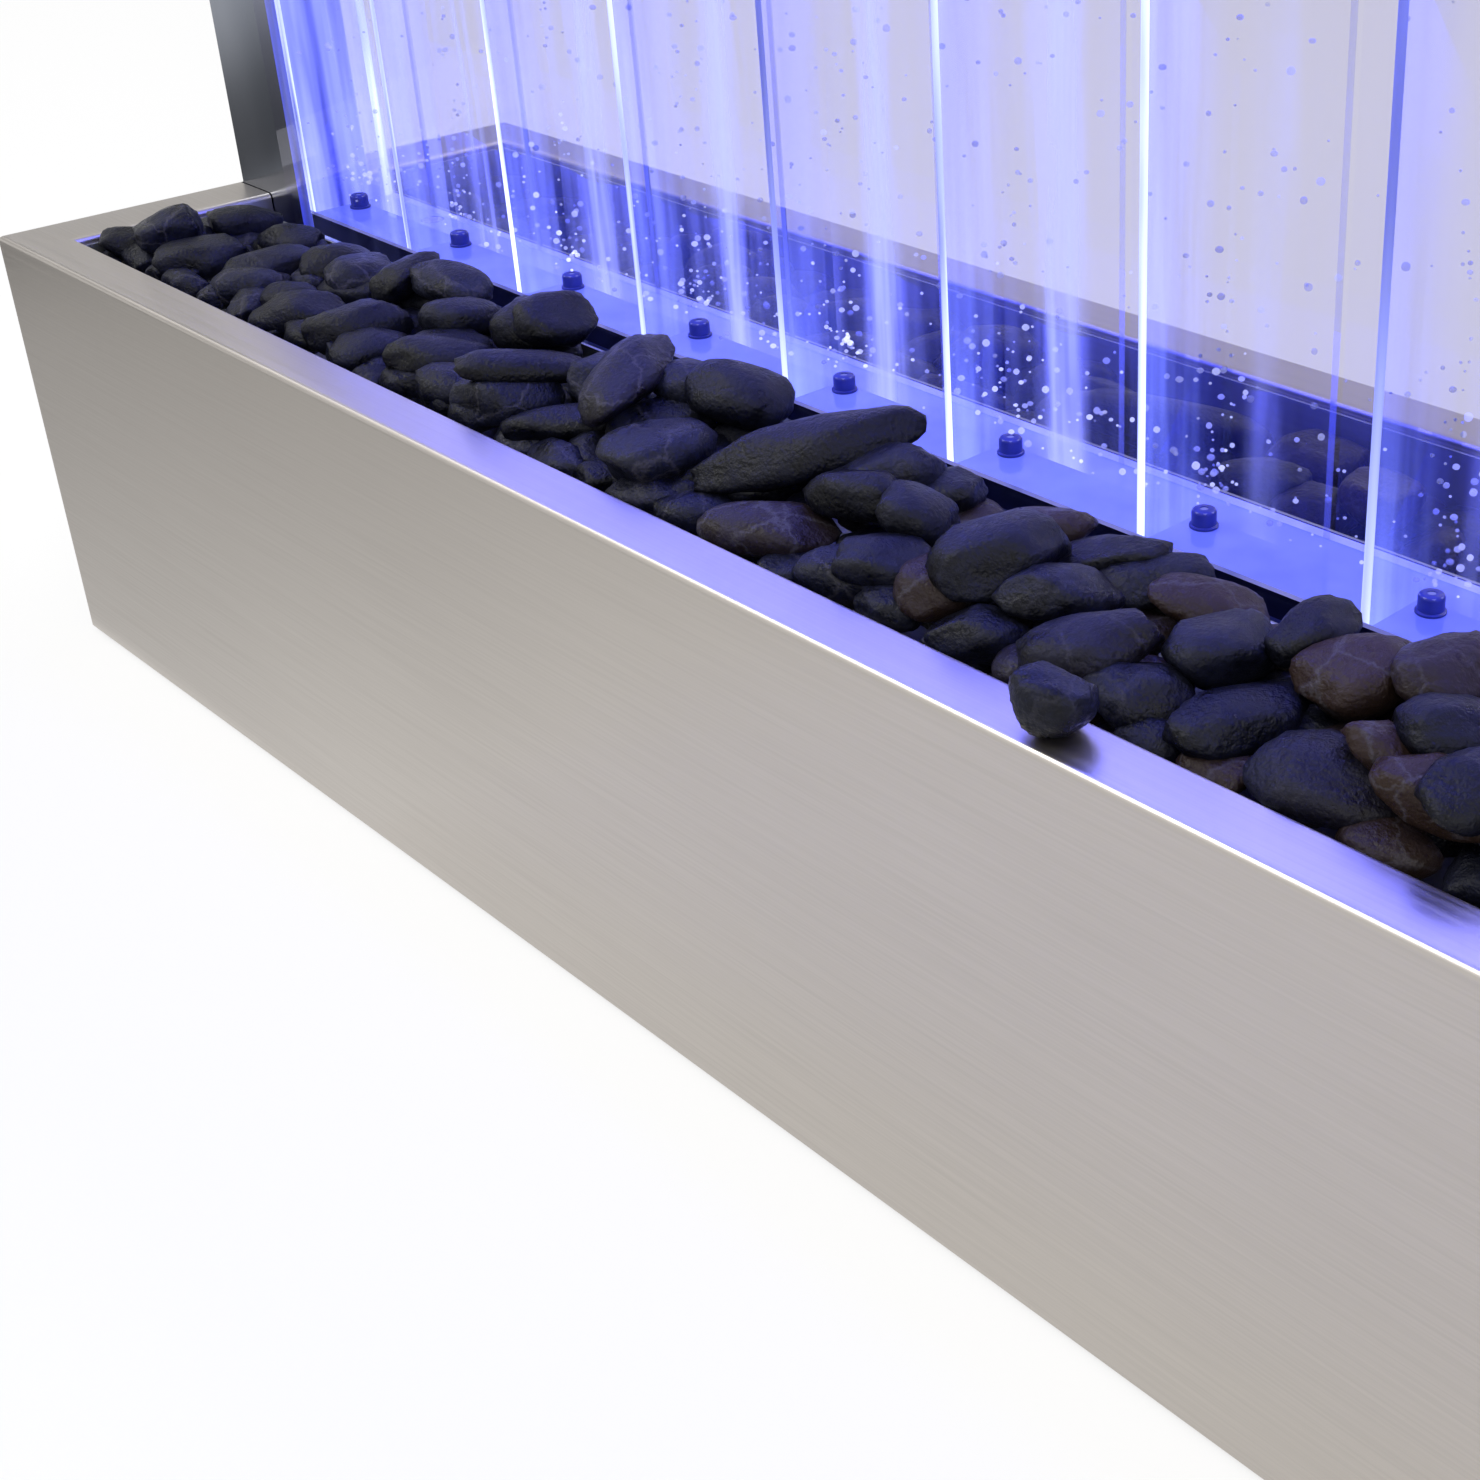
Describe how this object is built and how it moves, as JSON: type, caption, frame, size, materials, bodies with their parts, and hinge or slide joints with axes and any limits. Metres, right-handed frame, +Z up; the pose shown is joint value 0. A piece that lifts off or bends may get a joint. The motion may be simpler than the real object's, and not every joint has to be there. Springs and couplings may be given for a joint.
{
  "type": "bubble wall panel",
  "caption": "Floor-standing lit water panel: clear upright channels with rising bubbles between steel posts, in a folded steel base with beds of dark river stones.",
  "frame": {"origin": "centre of the bounding box at floor level, under the middle of the base", "axes": "+X along the panel, +Y from the front stones towards the rear wall with the controls, +Z up"},
  "size_m": [1.177, 0.312, 1.8],
  "materials": {
    "brushed_steel": "fine brushed stainless steel, lines along the base",
    "polished_steel": "mirror polished stainless steel",
    "inner_steel": "plain mill finish sheet",
    "clear_acrylic": "clear cast acrylic, polished edges",
    "rubber": "matt black",
    "aluminium": "satin extrusion",
    "led_white": "white solder mask with light emitting diodes",
    "grey_plastic": "moulded, fine grain",
    "white_plastic": "moulded, smooth",
    "black_plastic": "moulded, fine grain",
    "hose_silicone": "translucent soft hose",
    "brass": "turned",
    "lever_paint": "vinyl dipped steel",
    "dark_glass": "dark infrared window",
    "river_stone": "dark tumbled river stones, semi matt"
  },
  "bodies": {
    "wall": {"base_shell": "brushed_steel", "chassis_plate": "inner_steel", "front_left_foot": "rubber", "rear_left_foot": "rubber", "front_right_foot": "rubber", "rear_right_foot": "rubber", "cradle_leg_1": "inner_steel", "cradle_leg_2": "inner_steel", "cradle_leg_3": "inner_steel", "left_post": "polished_steel", "left_post_bracket": "inner_steel", "right_post": "polished_steel", "right_post_bracket": "inner_steel", "panel_cradle": "inner_steel", "cradle_pad": "rubber", "front_sheet": "clear_acrylic", "rear_sheet": "clear_acrylic", "left_end_block": "clear_acrylic", "right_end_block": "clear_acrylic", "tank_floor": "clear_acrylic", "divider_1": "clear_acrylic", "divider_2": "clear_acrylic", "divider_3": "clear_acrylic", "divider_4": "clear_acrylic", "divider_5": "clear_acrylic", "divider_6": "clear_acrylic", "divider_7": "clear_acrylic", "divider_8": "clear_acrylic", "divider_9": "clear_acrylic", "led_rail": "aluminium", "led_board": "led_white", "led_cover": "clear_acrylic", "air_manifold": "grey_plastic", "check_valve": "white_plastic", "flow_valve": "black_plastic", "air_pump": "black_plastic", "pump_mount": "rubber", "air_hose": "hose_silicone", "drain_pipe": "grey_plastic", "drain_valve": "brass", "drain_hose": "hose_silicone", "led_driver": "aluminium", "control_plate": "black_plastic", "switch_housing": "black_plastic", "power_inlet": "black_plastic", "ir_window": "dark_glass", "control_box": "grey_plastic", "led_lead": "black_plastic", "hatch_frame": "inner_steel", "header_shell": "brushed_steel"},
    "fill_lid": {"fill_lid": "brushed_steel"},
    "front_bed": {"front_tray": "inner_steel", "front_stones": "river_stone", "rim_stone": "river_stone"},
    "rear_bed": {"rear_tray": "inner_steel", "rear_stones": "river_stone"},
    "service_hatch": {"service_hatch": "brushed_steel"},
    "power_switch": {"power_switch": "grey_plastic"},
    "flow_knob": {"flow_knob": "grey_plastic"},
    "drain_lever": {"drain_lever": "lever_paint"}
  },
  "joints": [
    {"name": "fill_lid_lift", "type": "slide", "parent": "wall", "child": "fill_lid", "axis": [0, 0, 1], "range_m": [0, 0.08]},
    {"name": "front_bed_lift", "type": "slide", "parent": "wall", "child": "front_bed", "axis": [0, 0, 1], "range_m": [0, 0.06]},
    {"name": "rear_bed_lift", "type": "slide", "parent": "wall", "child": "rear_bed", "axis": [0, 0, 1], "range_m": [0, 0.06]},
    {"name": "service_hatch_pull", "type": "slide", "parent": "wall", "child": "service_hatch", "axis": [0, 1, 0], "range_m": [0, 0.06]},
    {"name": "power_switch_rock", "type": "hinge", "parent": "wall", "child": "power_switch", "pos_m": [0.3145, 0.15252, 0.1045], "axis": [1, 0, 0], "range_deg": [0, 14]},
    {"name": "flow_knob_turn", "type": "hinge", "parent": "wall", "child": "flow_knob", "pos_m": [-0.48, 0.018, 0.0994], "axis": [0, 1, 0], "range_deg": [0, 270]},
    {"name": "drain_lever_turn", "type": "hinge", "parent": "wall", "child": "drain_lever", "pos_m": [-0.244, 0.09375, 0.043], "axis": [0, 0, 1], "range_deg": [0, 90]}
  ]
}
